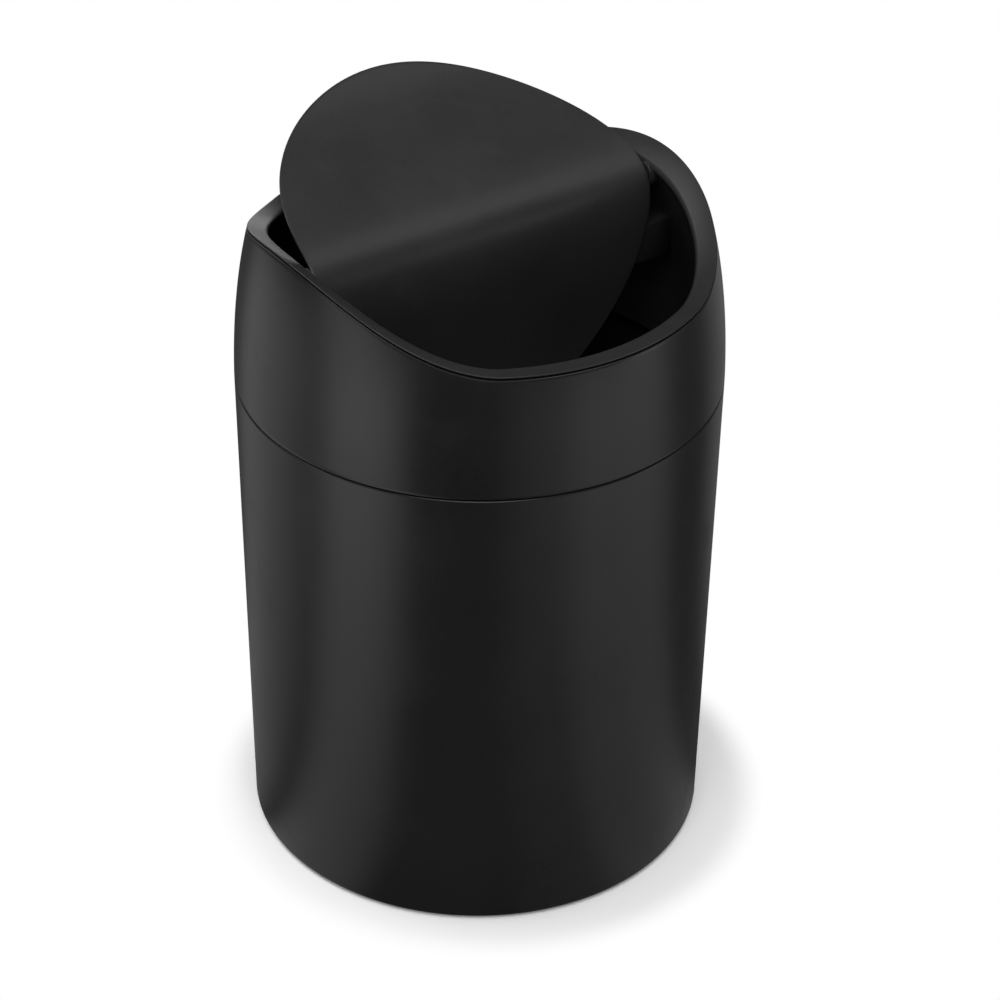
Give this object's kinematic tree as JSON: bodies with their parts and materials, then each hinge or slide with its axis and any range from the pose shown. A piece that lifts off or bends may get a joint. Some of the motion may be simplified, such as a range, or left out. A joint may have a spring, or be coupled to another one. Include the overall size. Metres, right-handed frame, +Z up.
{
  "type": "countertop trash can with swing lid",
  "caption": "Small tapered round countertop bin with a lift-off domed lid, saddle-shaped rim and wave-shaped flap that swings on side pivots.",
  "frame": {"origin": "centre of the base, on the surface the bin stands on", "axes": "+Z up, +X along the flap's pivots, -Y towards the front; the flap is stored open with its back half up"},
  "size_m": [0.1378, 0.1378, 0.2162],
  "materials": {
    "coated_sheet": "satin black coating",
    "moulding": "fine matte moulding",
    "soft_grip": "matte",
    "pin_steel": "drawn"
  },
  "bodies": {
    "body": {"can_wall": "coated_sheet", "base_pan": "moulding", "foot_pad_1": "soft_grip", "foot_pad_2": "soft_grip", "foot_pad_3": "soft_grip", "foot_pad_4": "soft_grip"},
    "lid": {"lid_skin": "coated_sheet", "rim_liner": "moulding", "grip_ring": "soft_grip", "pivot_bush_left": "moulding", "pivot_bush_right": "moulding"},
    "flap": {"flap_panel": "coated_sheet", "flap_frame": "moulding", "pivot_pin_left": "pin_steel", "pivot_pin_right": "pin_steel"}
  },
  "joints": [
    {"name": "lid_lift", "type": "slide", "parent": "body", "child": "lid", "axis": [0, 0, 1], "range_m": [0, 0.06]},
    {"name": "flap_swing", "type": "hinge", "parent": "lid", "child": "flap", "pos_m": [0, 0, 0.1912], "axis": [1, 0, 0], "range_deg": [-107.4, 0]}
  ]
}
